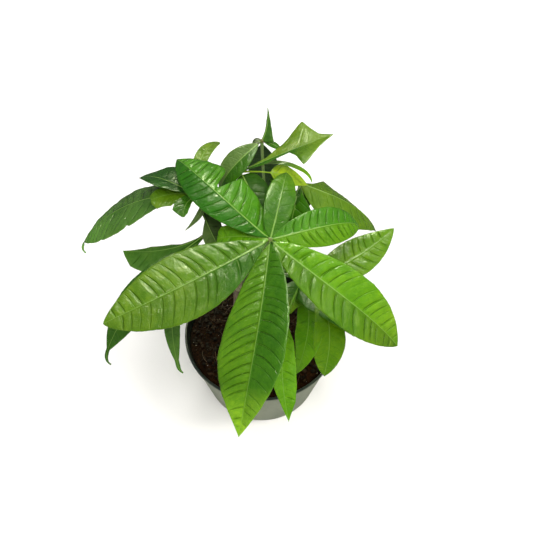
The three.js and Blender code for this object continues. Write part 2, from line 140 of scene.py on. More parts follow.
class Parts:
    """Collects several meshes, with the same attributes, into one."""

    def __init__(self):
        self.points, self.faces, self.attributes, self.count = [], [], {}, 0

    def add(self, points, faces, **attributes):
        points = np.asarray(points, float)
        self.points.append(points)
        self.faces.extend([tuple(corner + self.count for corner in face) for face in faces])
        for key, values in attributes.items():
            values = np.asarray(values, float)
            if values.ndim == 0 or len(values) != len(points):
                values = np.broadcast_to(values, (len(points),) + values.shape)
            self.attributes.setdefault(key, []).append(values)
        self.count += len(points)

    def build(self, name, material):
        joined = {key: np.concatenate(values) for key, values in self.attributes.items()}
        return new_object(name, np.concatenate(self.points), self.faces, material, joined)


def ring_faces(rings, sides):
    """Faces of a closed body of rings that run anticlockwise, seen from beyond the last."""
    faces = []
    for ring in range(rings - 1):
        for k in range(sides):
            a = ring * sides + k
            b = ring * sides + (k + 1) % sides
            faces.append((a, b, b + sides, a + sides))
    faces.append(tuple(reversed(range(sides))))
    faces.append(tuple((rings - 1) * sides + k for k in range(sides)))
    return faces


def lerp(first, last, share):
    return np.asarray(first) * (1 - share) + np.asarray(last) * share


def share_of(value, whole):
    """How much of a whole a value is, kept from 0 to 1."""
    return np.clip(value / whole, 0, 1)


def hump(value, at, width):
    """A smooth hump, 1 at its middle."""
    return np.exp(-(((value - at) / width) ** 2))


def unit(vector):
    return vector / np.linalg.norm(vector)


def angles_round(sides):
    return np.arange(sides) / sides * TAU


def flat_ring(angles, reach, height=0):
    """Points round the Z axis. Reach and height are one value, or one for each angle."""
    return np.stack([reach * np.cos(angles), reach * np.sin(angles), 0 * angles + height], 1)


def tube(path, radii, sides, ridges=None):
    """Points and faces of a closed tube along a path. Ridges adds to the radius at (row, angles)."""
    path = np.asarray(path, float)
    ahead = np.gradient(path, axis=0)
    ahead /= np.linalg.norm(ahead, axis=1)[:, None]
    side = np.cross(ahead[0], TUBE_START)
    angles = angles_round(sides)
    rings = []
    for row, (centre, way) in enumerate(zip(path, ahead)):
        side = unit(side - way * side.dot(way))
        ring = flat_ring(angles, radii[row] + (ridges(row, angles) if ridges else 0))
        rings.append(centre + ring[:, :1] * side + ring[:, 1:2] * np.cross(way, side))
    return np.concatenate(rings), ring_faces(len(path), sides)


def bezier(points, count):
    """Places along a curve from its first point to its last, bent by the other two."""
    t = np.linspace(0, 1, count)[:, None]
    a, b, c, d = (np.asarray(p, float) for p in points)
    return (1 - t) ** 3 * a + 3 * (1 - t) ** 2 * t * b + 3 * (1 - t) * t ** 2 * c + t ** 3 * d


def ripple(seed, *coordinates):
    """Smooth noise, about -1 to 1, from four seeded sines, each finer and weaker."""
    random = np.random.default_rng(seed)
    total = 0
    for octave in range(4):
        phase = random.uniform(0, TAU)
        wave = 0
        for values in coordinates:
            wave = wave + random.uniform(0.6, 1.4) * (1 + octave * 0.8) * values
        total = total + np.sin(wave + phase + 1.7 * np.sin(0.6 * wave + 2 * phase)) / (1 + octave * 0.6)
    return total / 2.4


# ---- Materials ----
# Scales are in waves to the metre, depths of bumps in metres and colours linear. The mix node's
# sockets for colours go by number, because those for numbers have the same names.
COLOUR_A, COLOUR_B, MIXED_COLOUR = 6, 7, 2


class Nodes:
    """Short forms for the nodes of a material or the world."""

    def __init__(self, name, kind=bpy.data.materials):
        self.owner = kind.new(name)
        self.owner.use_nodes = True
        self.tree = self.owner.node_tree

    def link(self, source, target):
        """Source is a node's output, a number, a vector or a colour. None links nothing."""
        if isinstance(source, tuple):
            target.default_value[:3] = source
        elif isinstance(source, (int, float)):
            target.default_value = source
        elif source is not None:
            self.tree.links.new(source, target)

    def new(self, kind, inputs=None, **settings):
        node = self.tree.nodes.new("ShaderNode" + kind)
        for key, value in settings.items():
            setattr(node, key, value)
        for key, value in (inputs or {}).items():
            self.link(value, node.inputs[key])
        return node

    def attribute(self, name, output="Fac"):
        return self.new("Attribute", attribute_name=name).outputs[output]

    def place(self):
        return self.new("TexCoord").outputs["Object"]

    def axes(self, vector):
        return self.new("SeparateXYZ", {0: vector}).outputs

    def stretched(self, vector, factors):
        return self.new("VectorMath", {0: vector, 1: factors}, operation="MULTIPLY").outputs[0]

    def math(self, operation, *values):
        return self.new("Math", dict(enumerate(values)), operation=operation).outputs[0]

    def ramp(self, value, low, high, to_low=0, to_high=1):
        """Goes softly from to_low to to_high as the value goes from low to high."""
        ends = dict(enumerate((value, low, high, to_low, to_high)))
        return self.new("MapRange", ends, interpolation_type="SMOOTHSTEP").outputs[0]

    def mix(self, share, first, second, blend="MIX"):
        inputs = {"Factor": share, COLOUR_A: first, COLOUR_B: second}
        node = self.new("Mix", data_type="RGBA", blend_type=blend, inputs=inputs)
        return node.outputs[MIXED_COLOUR]

    def times(self, first, second):
        return self.mix(1, first, second, "MULTIPLY")

    def noise(self, vector, scale, detail=3, roughness=0.55, distortion=0):
        inputs = {"Vector": vector, "Scale": scale, "Detail": detail, "Roughness": roughness}
        return self.new("TexNoise", {**inputs, "Distortion": distortion}).outputs["Fac"]

    def cells(self, vector, scale, feature="F1"):
        return self.new("TexVoronoi", {"Vector": vector, "Scale": scale}, feature=feature).outputs

    def bump(self, height, distance, strength=1, under=None):
        inputs = {"Height": height, "Distance": distance, "Strength": strength, "Normal": under}
        return self.new("Bump", inputs).outputs[0]

    def finish(self, colour, roughness, normal=None, **constants):
        """Links the shader. Constants are its inputs by name, with _ for each space."""
        shader = self.tree.nodes["Principled BSDF"].inputs
        values = {"Base Color": colour, "Roughness": roughness, "Normal": normal, **constants}
        for key, value in values.items():
            self.link(value, shader[key.replace("_", " ")])
        return self.owner


def leaf_material():
    """Reads, from each blade's points: tint, rib = half the midrib's width in mm,
    blade = (share along, share across, mm from the midrib) and
    vein = (side veins passed, how strongly they show, 1 on the underside)."""
    n = Nodes("leaf_blade")
    # The tint holds each half's green with its painted light and shade.
    tint = n.attribute("tint", "Color")
    along, across, off_midrib = n.axes(n.attribute("blade", "Vector"))
    passed, show, under = n.axes(n.attribute("vein", "Vector"))
    # Strands run out from the midrib, five or six between one side vein and the next.
    strand_place = {0: n.math("MULTIPLY", passed, 5.5), 1: n.math("MULTIPLY", off_midrib, 0.22)}
    strands = n.noise(n.new("CombineXYZ", strand_place).outputs[0], 1, 4, 0.6, 0.4)
    place = n.place()
    darker = n.times(tint, (0.5, 0.66, 0.36))
    lighter = n.times(tint, (1.45, 1.22, 1.1))

    # Blotches a few centimetres across, then the strands, then fine cells of veinlets.
    colour = n.mix(n.ramp(n.noise(place, 34, 4), 0.38, 0.66, 0, 0.75), tint, darker)
    colour = n.mix(n.ramp(n.noise(place, 85, 3), 0.5, 0.72, 0, 0.55), colour, lighter)
    colour = n.mix(n.ramp(strands, 0.45, 0.75, 0, 0.5), colour, lighter)
    colour = n.mix(n.ramp(strands, 0.25, 0.5, 0.45, 0), colour, darker)
    veinlets = n.cells(place, 620, "DISTANCE_TO_EDGE")[0]
    veinlet_line = n.ramp(veinlets, 0, 0.14, 1, 0)
    colour = n.mix(n.math("MULTIPLY", veinlet_line, 0.16), colour, lighter)

    # Side veins: narrow creases darkened with painted shade, with a faint pale line beside each.
    to_vein = n.math("ABSOLUTE", n.math("SUBTRACT", n.math("FRACT", passed), 0.5))
    near_vein = n.math("SUBTRACT", 0.5, to_vein)
    crease_depth_and_shade = n.math("MULTIPLY", n.ramp(near_vein, 0, 0.11, 1, 0), show)
    colour = n.mix(n.math("MULTIPLY", crease_depth_and_shade, 0.75), colour, darker)
    line = n.math("MULTIPLY", n.ramp(near_vein, 0.01, 0.034, 1, 0), show)
    fade = n.ramp(n.math("ABSOLUTE", across), 0.2, 0.8, 0.3, 0)
    pale = n.mix(0.65, tint, (0.27, 0.43, 0.07))
    colour = n.mix(n.math("MULTIPLY", line, fade), colour, pale)

    # The midrib with soft dark flanks of painted shade, the thin pale margin, and a brown foot at the hub.
    rib_share = n.math("DIVIDE", n.math("ABSOLUTE", off_midrib), n.attribute("rib"))
    colour = n.mix(n.ramp(rib_share, 1, 1.9, 0.5, 0), colour, darker)
    rib_colour = n.mix(n.ramp(along, 0, 0.9, 0.65, 0.4), tint, (0.26, 0.44, 0.08))
    colour = n.mix(n.ramp(rib_share, 0.5, 0.95, 0.95, 0), colour, rib_colour)
    colour = n.mix(n.ramp(n.math("ABSOLUTE", across), 0.97, 0.995, 0, 0.2), colour, pale)
    colour = n.mix(n.ramp(along, 0, 0.03, 0.6, 0), colour, (0.13, 0.11, 0.035))

    # The underside is duller and paler.
    dull = n.mix(0.25, n.times(colour, (1.1, 1.05, 1.3)), (0.1, 0.17, 0.06))
    colour = n.mix(under, colour, dull)

    # Gloss in patches, and relief from the finest grain to the creases of the side veins.
    polish = n.noise(place, 120, 4)
    roughness = n.ramp(polish, 0.32, 0.68, 0.15, 0.26)
    roughness = n.math("ADD", roughness, n.math("MULTIPLY", under, 0.25))
    relief = None
    for height, depth, strength in (
            (n.noise(place, 900, 2), 0.00008, 0.6), (n.math("MULTIPLY", veinlet_line, -1), 0.00012, 0.5),
            (strands, 0.0006, 0.5), (n.noise(place, 210, 3), 0.0012, 0.5),
            (n.math("MULTIPLY", crease_depth_and_shade, -1), 0.0008, 0.9)):
        relief = n.bump(height, depth, strength, relief)
    return n.finish(colour, roughness, relief, IOR=1.45, Specular_IOR_Level=0.42)


def stem_material():
    """Green skin with faint streaks and small pale dots, for the shoot and the petioles."""
    n = Nodes("petiole_skin")
    tint = n.attribute("tint", "Color")
    place = n.place()
    streaks = n.noise(n.stretched(place, (1, 1, 0.25)), 420, 4)
    colour = n.mix(n.ramp(streaks, 0.35, 0.7, 0, 0.5), tint, n.times(tint, (0.6, 0.72, 0.5)))
    dots = n.cells(place, 800)["Distance"]
    colour = n.mix(n.ramp(dots, 0.1, 0.24, 0.35, 0), colour, (0.42, 0.4, 0.24))
    roughness = n.ramp(streaks, 0.3, 0.7, 0.36, 0.52)
    bump = n.bump(streaks, 0.0002, 0.5)
    return n.finish(colour, roughness, bump, IOR=1.46, Subsurface_Weight=0.1, Subsurface_Scale=0.001)


def pot_material():
    """Dark plastic inside and on the rim, grey green outside. Attribute inner is 1 on the dark."""
    n = Nodes("nursery_pot")
    inner = n.attribute("inner")
    place = n.place()
    haze = n.noise(n.stretched(place, (1, 1, 0.3)), 60, 4)
    dust = n.noise(place, 260, 5, 0.7)
    outside = n.mix(n.ramp(haze, 0.3, 0.7), (0.24, 0.268, 0.19), (0.298, 0.325, 0.236))
    outside = n.mix(n.ramp(dust, 0.52, 0.75, 0, 0.4), outside, (0.31, 0.31, 0.26))
    dark = n.mix(n.ramp(dust, 0.4, 0.7), (0.012, 0.02, 0.014), (0.03, 0.042, 0.03))
    colour = n.mix(inner, outside, dark)
    scratches = n.noise(n.stretched(place, (1, 1, 9)), 120, 6, 0.7)
    roughness = n.ramp(scratches, 0.3, 0.7, 0.38, 0.56)
    roughness = n.math("SUBTRACT", roughness, n.math("MULTIPLY", inner, 0.1))
    bump = n.bump(scratches, 0.00012, 0.5, n.bump(haze, 0.0006, 0.4))
    return n.finish(colour, roughness, bump, IOR=1.49)


def soil_material():
    """Dark clods with painted shade in the gaps between the grains, and a few rusty patches."""
    n = Nodes("potting_soil")
    place = n.place()
    clods = n.noise(place, 170, 6, 0.7)
    grains = n.cells(place, 520)["Distance"]
    colour = n.mix(n.ramp(clods, 0.3, 0.72), (0.005, 0.002, 0.0007), (0.036, 0.0135, 0.0045))
    # Painted shade in the gaps between the grains.
    colour = n.mix(n.ramp(grains, 0.5, 0.9, 0, 0.6), colour, (0.002, 0.0013, 0.0007))
    rusty = n.noise(place, 330, 3)
    colour = n.mix(n.ramp(rusty, 0.62, 0.74, 0, 0.6), colour, (0.055, 0.027, 0.01))
    bump = n.bump(clods, 0.003, 0.9, n.bump(grains, 0.0012, 0.8))
    return n.finish(colour, n.ramp(clods, 0.3, 0.7, 0.72, 0.95), bump, Specular_IOR_Level=0.05)


def tinted_material(name, scale, depth, roughness):
    """For crumbs, bits and fibres: the tint attribute, with grain."""
    n = Nodes(name)
    tint = n.attribute("tint", "Color")
    place = n.place()
    grain = n.noise(place, scale, 5, 0.65)
    shade = n.times(tint, (0.45, 0.42, 0.4))
    colour = n.mix(n.ramp(grain, 0.32, 0.68, 0, 0.55), tint, shade)
    return n.finish(colour, roughness, n.bump(grain, depth, 0.8), Specular_IOR_Level=0.2)


def bark_material():
    """Fissured bark, greener towards the shoot. Attribute cut is how bare the wood is."""
    n = Nodes("bark")
    place = n.place()
    cut = n.attribute("cut")
    fissures = n.noise(n.stretched(place, (1, 1, 0.28)), 260, 6, 0.7, 0.6)
    patches = n.noise(place, 70, 3)
    colour = n.mix(n.ramp(fissures, 0.34, 0.66), (0.06, 0.034, 0.022), (0.26, 0.165, 0.115))
    colour = n.mix(n.ramp(patches, 0.45, 0.7, 0, 0.6), colour, (0.27, 0.15, 0.115))
    flecks = n.cells(n.stretched(place, (1, 1, 0.5)), 330)["Distance"]
    colour = n.mix(n.ramp(flecks, 0.08, 0.2, 0.75, 0), colour, (0.52, 0.44, 0.33))
    green = n.ramp(n.axes(place)[2], 0.105, 0.15, 0, 0.25)
    colour = n.mix(green, colour, (0.15, 0.16, 0.06))
    rings = n.noise(place, 900, 3)
    wood = n.mix(n.ramp(rings, 0.3, 0.7), (0.42, 0.34, 0.2), (0.58, 0.5, 0.33))
    colour = n.mix(cut, colour, wood)
    bump = n.bump(fissures, 0.0016, 0.9, n.bump(flecks, 0.0005, 0.5))
    return n.finish(colour, n.ramp(fissures, 0.3, 0.7, 0.62, 0.9), bump)


def floor_material():
    n = Nodes("floor")
    cloud = n.noise(n.place(), 3, 2)
    colour = n.mix(cloud, (0.97, 0.955, 0.935), (0.98, 0.965, 0.945))
    return n.finish(colour, 0.6, Specular_IOR_Level=0)


# ---- Pot ----
POT = SimpleNamespace(
    height=80, top_radius=75, foot_radius=56, wall=1.6, floor=2, lip_height=5, lip_depth=1.6,
    groove_depth=0.6, dark_band=2.2, drain_radius=4, drain_circle=36, drain_count=6, drain_sides=32,
    sides=192,
)
WALL_SLOPE = (POT.top_radius - POT.lip_depth - POT.foot_radius) / (POT.height - POT.lip_height)
# The profile ends this near the middle, where a small face closes it.
PROFILE_END = 0.5
CORNER_RADIUS, CORNER_STEPS = 0.8, 5


def outer_wall(z):
    return POT.foot_radius + WALL_SLOPE * z


def inner_wall(z):
    return outer_wall(z) - POT.wall


def rounded(points):
    """A profile with short curves for corners, each less than half of a short side."""
    points = [np.array(p, float) for p in points]
    result = [points[0]]
    for before, corner, after in zip(points, points[1:], points[2:]):
        start, end = (
            corner + unit(p - corner) * min(CORNER_RADIUS, np.linalg.norm(p - corner) * 0.45)
            for p in (before, after))
        for t in np.linspace(0, 1, CORNER_STEPS):
            result.append((1 - t) ** 2 * start + 2 * t * (1 - t) * corner + t ** 2 * end)
    return result + [points[-1]]


def is_dark(radius, z):
    """The inside and the rim's top band are of the darker plastic."""
    inside = radius < outer_wall(z) - POT.wall / 2 and z > POT.floor / 2
    return z > POT.height - POT.dark_band or inside


def make_pot(material):
    """Turned from a profile along the grooved underside, up the wall and down inside, then drilled."""
    foot, rim, top, groove = POT.foot_radius, POT.top_radius, POT.height, POT.groove_depth
    under_lip = top - POT.lip_height
    profile = rounded([
        (PROFILE_END, 0), (foot - 6, 0), (foot - 5, groove), (foot - 3, groove), (foot - 2.2, 0),
        (foot - 0.6, 0), (outer_wall(1.4), 1.4), (outer_wall(12), 12), (outer_wall(40), 40),
        (outer_wall(under_lip - 0.3), under_lip - 0.3), (rim - 0.5, under_lip),
        (rim, under_lip + 0.8), (rim, top - 0.9), (rim - 0.9, top), (inner_wall(top) + 0.5, top),
        (inner_wall(top - 1), top - 1), (inner_wall(40), 40), (inner_wall(POT.floor), POT.floor),
        (PROFILE_END, POT.floor),
    ])
    angles = angles_round(POT.sides)
    points = np.concatenate([flat_ring(angles, radius, z) for radius, z in profile])
    inner = [float(is_dark(radius, z)) for radius, z in profile]
    pot = new_object("nursery_pot", points, ring_faces(len(profile), POT.sides), material,
                     {"inner": np.repeat(inner, POT.sides)})
    for x, y, _ in flat_ring(angles_round(POT.drain_count), POT.drain_circle * MM):
        bpy.ops.mesh.primitive_cylinder_add(
            vertices=POT.drain_sides, radius=POT.drain_radius * MM, depth=4 * POT.floor * MM,
            location=(x, y, 0))
        drill = bpy.context.object
        cut = pot.modifiers.new("drain", "BOOLEAN")
        cut.object = drill
        cut.operation = "DIFFERENCE"
        drilled = pot.evaluated_get(bpy.context.evaluated_depsgraph_get())
        pot.data = bpy.data.meshes.new_from_object(drilled)
        pot.modifiers.clear()
        bpy.data.objects.remove(drill)
    finish_piece(pot, "pot_plastic", "pot")


# ---- Trunk ----
TRUNK = SimpleNamespace(
    foot=(-14, 0, 38), top=(-14, 2, 148), foot_radius=14.5, top_radius=11, sides=96, rows=150,
)
TRUNK_HEIGHT = TRUNK.top[2] - TRUNK.foot[2]
RIDGE_SWELL, BELLY_SWELL = 0.05, 0.03
BARK_SINK, FISSURE_HEIGHT, GRAIN_HEIGHT = 0.35, 0.55, 0.25
# Scars all round: (millimetres above the foot, half width, how far they stand out).
SCARS = ((84, 1.6, 0.45), (55, 2.2, 0.35))
# The weathered top, inwards: (share of the radius, height, how bare the wood is).
TOP_RINGS = ((0.97, 0.05, 0.0), (0.9, 0.15, 0.25), (0.7, -0.1, 0.6), (0.45, -0.3, 0.6), (0.2, -0.2, 0.6))

# The stub of a cut stem, which leans towards -X and starts inside the trunk.
STUB = SimpleNamespace(
    lean=-8, offset=(-4.5, -6.5, 0), sunk=11, length=21.4, foot_radius=5.3, taper=1.1,
    rim_radii=(4.0, 3.7), knob_height=0.22, rows=44, sides=48,
)
# Its sawn end, inwards: (height above the bark's end, radius).
STUB_CUT = ((0.0, 3.6), (0.25, 3.3), (0.2, 2.2), (0.1, 1.0), (-0.15, 0.35))


def trunk_ring(share, angles, extra=0.0):
    """The trunk's outline at a share of its height, wider by extra."""
    centre = lerp(TRUNK.foot, TRUNK.top, share)
    swell = 1 + RIDGE_SWELL * np.sin(3 * angles + 5 * share) + BELLY_SWELL * np.sin(angles + 9 * share)
    reach = lerp(TRUNK.foot_radius, TRUNK.top_radius, share) * swell + extra
    return centre + flat_ring(angles, reach)


def stub_knobs(row, angles):
    return STUB.knob_height * ripple(14, angles * 2, row * 0.5)


def add_stub(parts):
    """Bark that ends in a narrow rim, then a disc of pale wood that dips at the pith."""
    lean = math.radians(STUB.lean)
    axis = np.array([math.sin(lean), 0, math.cos(lean)])
    base = np.add(TRUNK.top, STUB.offset) - axis * STUB.sunk
    path = [base + axis * step for step in np.linspace(0, STUB.length, STUB.rows)]
    radii = STUB.foot_radius - STUB.taper * np.linspace(0, 1, STUB.rows)
    radii[-2:] = STUB.rim_radii
    points, faces = tube(path, radii, STUB.sides, stub_knobs)
    parts.add(points, faces, cut=0.0)
    disc = [path[-1] + axis * height for height, _ in STUB_CUT]
    points, faces = tube(disc, [radius for _, radius in STUB_CUT], STUB.sides)
    parts.add(points, faces, cut=1.0)


def make_trunk(material):
    parts = Parts()
    angles = angles_round(TRUNK.sides)
    rings = []
    for share in np.arange(TRUNK.rows + 1) / TRUNK.rows:
        z = share * TRUNK_HEIGHT
        fissures = FISSURE_HEIGHT * np.abs(ripple(5, angles * 6, z * 0.10)) ** 0.6
        grain = GRAIN_HEIGHT * ripple(9, angles * 9, z * 0.55)
        scars = sum(height * hump(z, at, width) for at, width, height in SCARS)
        rings.append(trunk_ring(share, angles, fissures - BARK_SINK + grain + scars))
    cut = [0.0] * len(rings)
    rim = rings[-1]
    for shrink, height, bare in TOP_RINGS:
        ring = lerp(TRUNK.top, rim, shrink)
        ring[:, 2] = TRUNK.top[2] + height + 0.25 * ripple(3, angles * 3, 9 * shrink)
        rings.append(ring)
        cut.append(bare)
    faces = ring_faces(len(rings), TRUNK.sides)
    parts.add(np.concatenate(rings), faces, cut=np.repeat(cut, TRUNK.sides))
    add_stub(parts)
    finish_piece(parts.build("trunk_bark", material), "bark", "trunk")


# ---- Soil ----
SOIL_TOP, SOIL_UNEVEN = 71, 1.6
SOIL_SIDES, SOIL_ROWS = 240, 70
POT_GAP, TRUNK_GAP = 0.3, 0.4
# Rings of the hole that the trunk stands in, as shares of the trunk's height.
HOLE_SHARES = (0.0, 0.1, 0.2, 0.28)

LUMP_SIDES, LUMP_ROWS, LUMP_HEIGHT = 9, 5, 0.7
FIBRE_STEPS, FIBRE_SIDES, FIBRE_LIFT, FIBRE_ARCH = 14, 5, 0.35, 1.5
CRUMB_BROWNS = (
    (0.014, 0.008, 0.004), (0.026, 0.015, 0.007), (0.008, 0.005, 0.003), (0.05, 0.027, 0.012))
BIT_TINTS = ((0.42, 0.37, 0.28), (0.2, 0.14, 0.09), (0.55, 0.5, 0.42))
FIBRE_BROWNS = ((0.075, 0.042, 0.02), (0.14, 0.085, 0.045), (0.035, 0.02, 0.011), (0.2, 0.14, 0.08))


def soil_height(x, y):
    low = np.sin(x / 9 + 1.3) * np.cos(y / 11 - 0.4) + 0.5 * np.sin((x - y) / 6)
    fine = 0.35 * ripple(21, x * 0.55, y * 0.5) + 0.2 * ripple(22, x * 1.3, y * 1.45)
    return SOIL_TOP + SOIL_UNEVEN * low + fine


def make_soil(material):
    """One block: up the trunk's hole, out over the mounds and down the pot's wall."""
    angles = angles_round(SOIL_SIDES)
    rings = [trunk_ring(share, angles, TRUNK_GAP) for share in HOLE_SHARES]
    rings[0][:, 2] -= TRUNK_GAP
    inner = trunk_ring((SOIL_TOP - TRUNK.foot[2]) / TRUNK_HEIGHT, angles, TRUNK_GAP)
    outer = flat_ring(angles, inner_wall(SOIL_TOP - 1.5 * SOIL_UNEVEN) - POT_GAP)
    for share in np.linspace(0, 1, SOIL_ROWS):
        ring = lerp(inner, outer, share)
        ring[:, 2] = soil_height(ring[:, 0], ring[:, 1])
        rings.append(ring)
    bottom = POT.floor + POT_GAP
    rings.append(flat_ring(angles, inner_wall(bottom) - POT_GAP, bottom))
    faces = [tuple(reversed(face)) for face in ring_faces(len(rings), SOIL_SIDES)]
    bed = new_object("soil_bed", np.concatenate(rings), faces, material)
    finish_piece(bed, "potting_soil", "soil")


def soil_spot(random, inner_gap, outer_gap):
    """A random place on the soil, clear of the trunk and the pot's wall."""
    reach = inner_wall(SOIL_TOP) - outer_gap
    while True:
        x, y = random.uniform(-reach, reach, 2)
        from_trunk = math.hypot(x - TRUNK.foot[0], y - TRUNK.foot[1])
        if math.hypot(x, y) < reach and from_trunk > TRUNK.foot_radius + inner_gap:
            return x, y


def lump(random, size):
    """A flattened ball of rings pushed about, then stretched and turned."""
    angles = angles_round(LUMP_SIDES)
    rings = []
    for row in range(LUMP_ROWS):
        tilt = (row + 0.5) / LUMP_ROWS * math.pi
        reach = size * math.sin(tilt) * random.uniform(0.75, 1.2, LUMP_SIDES)
        pushed = random.uniform(-0.12, 0.12, LUMP_SIDES) * size
        rings.append(flat_ring(angles, reach, -size * LUMP_HEIGHT * math.cos(tilt) + pushed))
    turn = random.uniform(0, TAU)
    stretch = random.uniform(0.7, 1.3)
    points = np.concatenate(rings) * (stretch, 1 / stretch, 1)
    cos, sin = math.cos(turn), math.sin(turn)
    spin = np.array([[cos, -sin, 0], [sin, cos, 0], [0, 0, 1]])
    return points @ spin.T, ring_faces(LUMP_ROWS, LUMP_SIDES)


def scatter_lumps(name, seed, count, sizes, tints, sink, material):
    """Lumps that lie in the soil by sink, a share of their size."""
    random = np.random.default_rng(seed)
    parts = Parts()
    for _ in range(count):
        size = random.uniform(*sizes) * random.uniform(0.6, 1.0)
        x, y = soil_spot(random, size + 0.8, size + 2.2)
        points, faces = lump(random, size)
        z = soil_height(x, y) + size * (LUMP_HEIGHT - sink)
        tint = np.array(tints[random.integers(len(tints))]) * random.uniform(0.7, 1.25)
        parts.add(points + (x, y, z), faces, tint=tint)
    finish_piece(parts.build(name, material), "potting_soil")


def scatter_fibres(name, seed, count, lengths, radii, tints, material):
    """Bent fibres that arch a little over the soil."""
    random = np.random.default_rng(seed)
    parts = Parts()
    along = (np.arange(FIBRE_STEPS) + 0.5) / FIBRE_STEPS
    thickness = 0.35 + 0.65 * np.sin(math.pi * along) ** 0.5
    for _ in range(count):
        length = random.uniform(*lengths)
        x, y = soil_spot(random, 5, length * 0.5 + 2)
        turn = random.uniform(0, TAU)
        bend = random.uniform(-1.6, 1.6)
        path = []
        for share in np.linspace(0, 1, FIBRE_STEPS):
            arch = FIBRE_ARCH * math.sin(share * math.pi) * random.uniform(0.6, 1)
            path.append((x, y, soil_height(x, y) + FIBRE_LIFT + arch))
            way = turn + bend * share
            x += math.cos(way) * length / FIBRE_STEPS
            y += math.sin(way) * length / FIBRE_STEPS
        path = np.array(path)
        # Each height becomes the mean of five.
        path[:, 2] = np.convolve(np.pad(path[:, 2], 2, "edge"), np.ones(5) / 5, "valid")
        points, faces = tube(path, random.uniform(*radii) * thickness, FIBRE_SIDES)
        parts.add(points, faces, tint=tints[random.integers(len(tints))])
    finish_piece(parts.build(name, material), "potting_soil")


# ---- Shoot ----
SHOOT = ((-14, 2, 146), (-12, 6, 162), (-6, 10, 180), (-4, 13, 204))
SHOOT_FOOT_RADIUS, SHOOT_TIP_RADIUS, SHOOT_SUNK = 5, 3.4, 9
SHOOT_ROWS, SHOOT_SIDES, SHOOT_PLACES = 110, 40, 1000
COLLAR_HEIGHT, COLLAR_WIDTH = 0.45, 0.018
# It turns from brown to green between these heights.
SHOOT_BROWN, SHOOT_GREEN = (0.13, 0.13, 0.06), (0.14, 0.26, 0.065)
BROWN_BELOW, GREEN_ABOVE = 140, 200


def shoot_ribs(row, angles):
    return 0.12 * np.sin(7 * angles + 0.02 * row) + 0.08 * ripple(31, angles * 2, row * 0.12)


def make_shoot(material):
    """A stem with faint ribs, a collar where each petiole leaves it, and a rounded tip."""
    path = bezier(SHOOT, SHOOT_ROWS)
    share = np.linspace(0, 1, SHOOT_ROWS)
    radii = lerp(SHOOT_FOOT_RADIUS, SHOOT_TIP_RADIUS, share) - 0.25
    for shape in LEAVES.values():
        radii = radii + COLLAR_HEIGHT * hump(share, shape.shoot_share, COLLAR_WIDTH)
    foot = path[0] - unit(path[1] - path[0]) * SHOOT_SUNK
    domes = np.linspace(0.15, 1, 7)
    tip = [path[-1] + unit(path[-1] - path[-2]) * SHOOT_TIP_RADIUS * d for d in domes]
    dome_radii = SHOOT_TIP_RADIUS * np.sqrt(np.clip(1 - domes ** 2, 0.01, 1))
    path = np.concatenate([[foot], path, tip])
    radii = np.concatenate([[SHOOT_FOOT_RADIUS - 0.4], radii, dome_radii])
    points, faces = tube(path, radii, SHOOT_SIDES, shoot_ribs)
    greener = share_of(points[:, 2] - BROWN_BELOW, GREEN_ABOVE - BROWN_BELOW)[:, None]
    tint = lerp(SHOOT_BROWN, SHOOT_GREEN, greener)
    shoot = new_object("green_shoot", points, faces, material, {"tint": tint})
    finish_piece(shoot, "green_stem", "shoot")


# ---- Leaves ----
# Greens as sRGB.
GREENS = {
    "bright": (80, 128, 12), "fresh": (98, 140, 22), "deep": (58, 112, 10), "dark": (42, 84, 10),
    "vivid": (46, 116, 2), "sage": (72, 114, 40), "dull": (58, 106, 22), "grey": (86, 112, 56),
    "lime": (112, 150, 30), "yellow": (132, 162, 30), "olive": (76, 116, 4),
}

# tip_green and tip_light from tip_start on; tip_light scales it as painted light too
# What a leaflet has where its own entry says nothing. Angles are in degrees and shares are of its
# length. Pairs are for the left half, side 1, and the right one, side -1, seen from the hub, and one
# value is for both.
#   sway, roll, twist: the midrib turns sideways; the blade turns about it, at the hub and further on
#   fold, wave: the halves are folded up, and wavy at the margin
#   stalk, widest: where the blade starts and where it is widest
#   base, full, sides: how lean the outline is near the hub and the tip, and the halves' widths
#   edges: widths at shares, both in percent, in place of those four
#   tear, notches: (side, share, depth), and a tear's spreads towards the hub and the tip
#   curl, tail, hook, lift: the tip bends down; a narrow tip, as a share, turns sideways and up
#   green, light: a name in GREENS and what scales it, as painted light and shade on each half;
#   pleats, lean, spacing: height of the pillows between side veins, and the veins' slant and
#       distance, in millimetres
PLAIN_LEAFLET = dict(
    sway=0, roll=0, twist=0, fold=10, wave=0, stalk=0.06, widest=0.6, base=None, full=0.9, sides=1,
    edges=None, tear=None, notches=(), curl=0, tail=0, hook=0, lift=0, green="bright", light=1,
    tip_green=None, tip_light=1, tip_start=0.55, pleats=0.8, lean=0.2, spacing=9,
)
PAIRS = ("widest", "base", "sides", "light", "green", "pleats")
# The droop and the curl of the last part come on by these powers. The halves arch down by CUP.
DROOP_POWER, CURL_POWER, CURL_START = 1.3, 1.5, 0.8
CUP, WAVES_PER_LEAFLET, TAIL_WIDTH = 0.12, 2.5, 4.0


def leaflet(heading, length, width, rise, droop, **shape):
    """It leaves the hub by heading, degrees round from +X, and rise, and comes down by droop."""
    values = {**PLAIN_LEAFLET, **shape}
    values["base"] = values["base"] or values["full"]
    for key in PAIRS:
        if not isinstance(values[key], tuple):
            values[key] = (values[key], values[key])
    return SimpleNamespace(
        heading=heading, length=length, width=width, rise=rise, droop=droop, **values)


def leaf(shoot_share, bends, hub, *leaflets):
    """Its petiole leaves the shoot at a share of its length and bends towards two points."""
    return SimpleNamespace(shoot_share=shoot_share, bends=bends, hub=hub, leaflets=leaflets)


